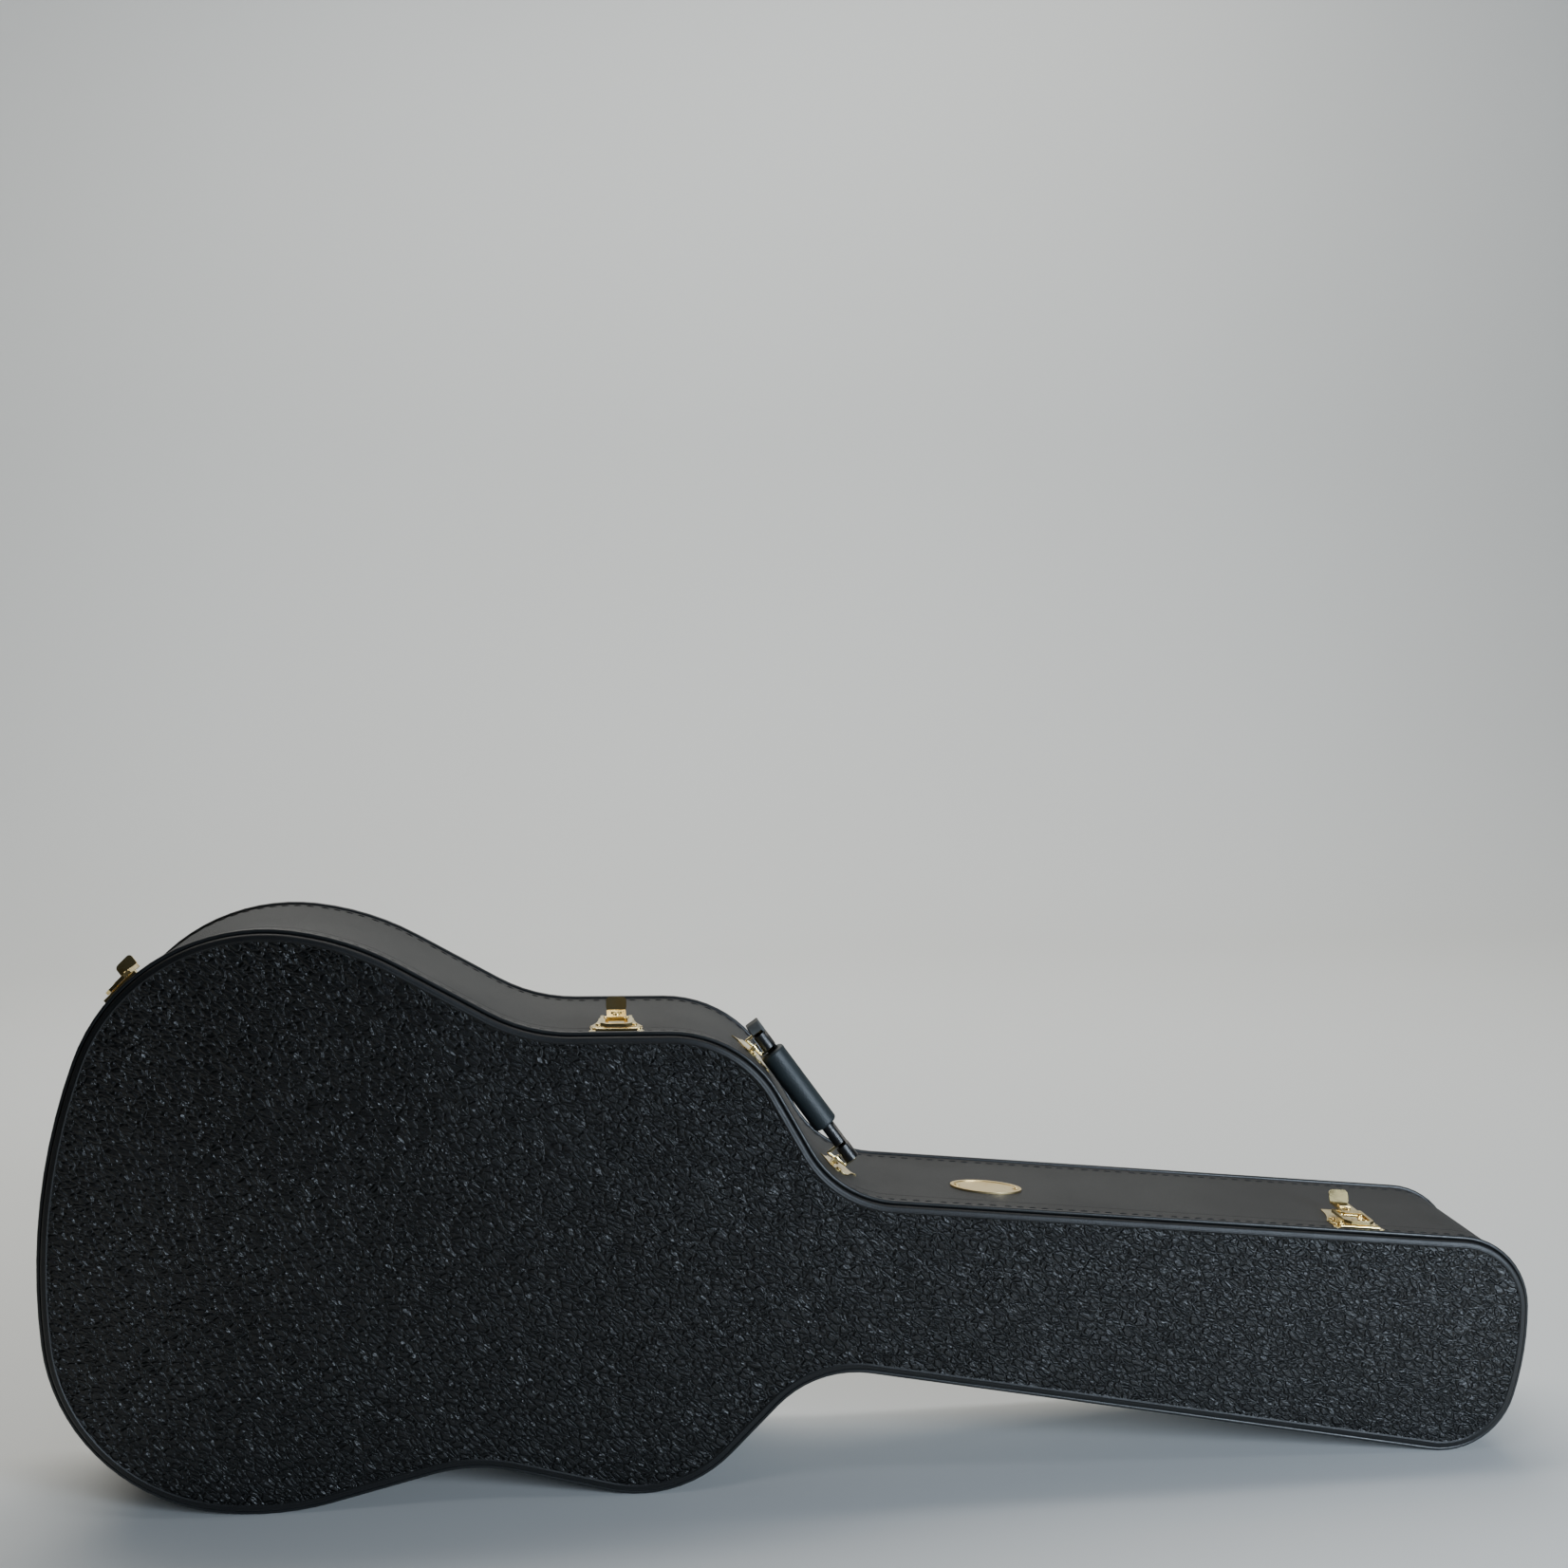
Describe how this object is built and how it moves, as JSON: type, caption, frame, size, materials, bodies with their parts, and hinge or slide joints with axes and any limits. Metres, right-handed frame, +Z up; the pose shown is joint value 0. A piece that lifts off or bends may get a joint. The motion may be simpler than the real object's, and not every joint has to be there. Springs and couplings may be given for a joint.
{
  "type": "guitar case",
  "caption": "Hard-shell guitar case standing on its hinge edge, with hinged lid, draw latches, swinging carry handle, padded interior and a lidded accessory pocket.",
  "frame": {"origin": "on the floor below the middle of the case's overall box, as it stands on its hinge edge", "axes": "+X from the butt to the headstock end, +Y from the lid to the back, +Z up; the lid faces -Y"},
  "size_m": [1.092, 0.143, 0.4236],
  "materials": {
    "face_vinyl": "black grained vinyl, satin",
    "side_vinyl": "fine matte black vinyl",
    "piping": "satin black piping",
    "plywood": "bare plywood",
    "lip_cloth": "black plush",
    "plush": "short-pile plush over foam",
    "ribbon": "woven ribbon",
    "strap": "black strap",
    "grip": "moulded grip, satin",
    "ring_wire": "plated wire, polished",
    "hinge_brass": "plated, polished",
    "badge_brass": "plated, polished",
    "latch_brass": "plated, polished"
  },
  "bodies": {
    "case": {"alignment_lip": "lip_cloth", "back_cover": "face_vinyl", "back_panel": "plywood", "back_piping": "piping", "body_side_cover": "side_vinyl", "body_wall_hinge_side": "plywood", "body_wall_latch_side": "plywood", "bolster_hinge_side": "plush", "bolster_latch_side": "plush", "floor_pad": "plush", "handle_plate_lower": "latch_brass", "handle_plate_upper": "latch_brass", "handle_rivets": "latch_brass", "headstock_pad": "plush", "hinge_body_leaf_head": "hinge_brass", "hinge_body_leaf_lower": "hinge_brass", "hinge_body_leaf_upper": "hinge_brass", "hinge_pin_head": "hinge_brass", "hinge_pin_lower": "hinge_brass", "hinge_pin_upper": "hinge_brass", "hinge_rivets_body": "hinge_brass", "latch_base_butt": "latch_brass", "latch_base_head": "latch_brass", "latch_base_waist": "latch_brass", "latch_pivot_butt": "latch_brass", "latch_pivot_head": "latch_brass", "latch_pivot_waist": "latch_brass", "latch_rivets_body": "latch_brass", "nameplate": "badge_brass", "nameplate_rivets": "badge_brass", "neck_cradle": "plush", "pocket_ledge": "plush", "pocket_partition": "plush"},
    "lid": {"lid_face_cover": "face_vinyl", "lid_pad": "plush", "lid_panel": "plywood", "lid_piping": "piping", "lid_side_cover": "side_vinyl", "lid_wall_hinge_side": "plywood", "lid_wall_latch_side": "plywood", "hinge_lid_leaf_lower": "hinge_brass", "hinge_lid_leaf_upper": "hinge_brass", "hinge_lid_leaf_head": "hinge_brass", "hinge_rivets_lid": "hinge_brass", "latch_rivets_lid": "latch_brass", "latch_keeper_butt": "latch_brass", "latch_keeper_waist": "latch_brass", "latch_keeper_head": "latch_brass"},
    "pocket": {"pocket_lid": "plush", "pocket_pull_tab": "ribbon"},
    "rings": {"handle_ring_upper": "ring_wire", "handle_ring_lower": "ring_wire"},
    "grip": {"handle_core": "strap", "handle_grip": "grip"},
    "lever_butt": {"latch_lever_butt": "latch_brass"},
    "loop_butt": {"latch_loop_butt": "latch_brass"},
    "lever_waist": {"latch_lever_waist": "latch_brass"},
    "loop_waist": {"latch_loop_waist": "latch_brass"},
    "lever_head": {"latch_lever_head": "latch_brass"},
    "loop_head": {"latch_loop_head": "latch_brass"}
  },
  "joints": [
    {"name": "lid_hinge", "type": "hinge", "parent": "case", "child": "lid", "pos_m": [-0.39409, -0.0467, 0.00185], "axis": [1, 0, 0], "range_deg": [0, 105]},
    {"name": "latch_lever_butt", "type": "hinge", "parent": "case", "child": "lever_butt", "pos_m": [-0.48319, -0.0417, 0.38656], "axis": [0.7213, 0, 0.6926], "range_deg": [0, 110]},
    {"name": "latch_loop_butt", "type": "hinge", "parent": "lever_butt", "child": "loop_butt", "pos_m": [-0.48319, -0.0337, 0.38656], "axis": [0.7213, 0, 0.6926], "range_deg": [-127, 0]},
    {"name": "latch_lever_waist", "type": "hinge", "parent": "case", "child": "lever_waist", "pos_m": [-0.13597, -0.0417, 0.34569], "axis": [0.9997, 0, -0.0232], "range_deg": [0, 110]},
    {"name": "latch_loop_waist", "type": "hinge", "parent": "lever_waist", "child": "loop_waist", "pos_m": [-0.13597, -0.0337, 0.34569], "axis": [0.9997, 0, -0.0232], "range_deg": [-127, 0]},
    {"name": "latch_lever_head", "type": "hinge", "parent": "case", "child": "lever_head", "pos_m": [0.41678, -0.0417, 0.17696], "axis": [0.9945, 0, -0.1046], "range_deg": [0, 110]},
    {"name": "latch_loop_head", "type": "hinge", "parent": "lever_head", "child": "loop_head", "pos_m": [0.41678, -0.0337, 0.17696], "axis": [0.9945, 0, -0.1046], "range_deg": [-127, 0]},
    {"name": "handle_swing", "type": "hinge", "parent": "case", "child": "rings", "pos_m": [-0.03794, -0.0125, 0.32156], "axis": [0.5755, 0, -0.8178], "range_deg": [-20, 20]},
    {"name": "handle_turn", "type": "hinge", "parent": "rings", "child": "grip", "pos_m": [-0.02883, -0.0125, 0.32797], "axis": [0.5755, 0, -0.8178], "range_deg": [-20, 20]},
    {"name": "pocket_lid_hinge", "type": "hinge", "parent": "case", "child": "pocket", "pos_m": [0.06623, 0.0115, 0.09429], "axis": [0.9894, 0, -0.1455], "range_deg": [0, 33]}
  ],
  "couplings": [
    {"joint": "latch_loop_butt", "follows": "latch_lever_butt", "ratio": -1.15},
    {"joint": "latch_loop_waist", "follows": "latch_lever_waist", "ratio": -1.15},
    {"joint": "latch_loop_head", "follows": "latch_lever_head", "ratio": -1.15}
  ]
}
